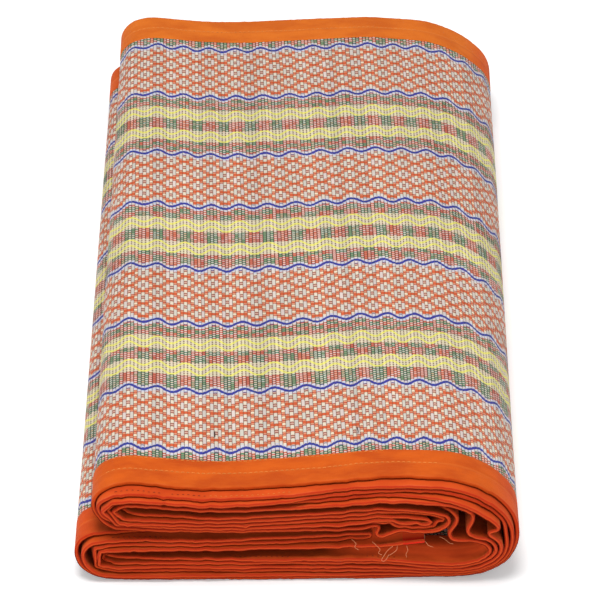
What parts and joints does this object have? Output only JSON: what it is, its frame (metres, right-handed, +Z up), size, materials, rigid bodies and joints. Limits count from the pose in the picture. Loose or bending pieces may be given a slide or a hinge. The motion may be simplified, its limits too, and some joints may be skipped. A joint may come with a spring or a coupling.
{
  "type": "woven grass floor mat, folded",
  "caption": "Woven grass floor mat with striped cotton patterning and an orange cotton binding, folded into a stack of plies for storage.",
  "frame": {"origin": "on the floor under the middle of the folded bundle", "axes": "+Z up; +Y along the reeds, away from the bound edge that faces the viewer; +X across the bundle, towards the spine of the last fold"},
  "size_m": [0.3042, 0.638, 0.0835],
  "materials": {
    "woven_grass": "matte woven reeds with coloured cotton warps",
    "orange_binding": "matte plain cotton tape"
  },
  "bodies": {
    "root": {"mat": "woven_grass", "binding_near": "orange_binding", "binding_far": "orange_binding"}
  },
  "joints": []
}
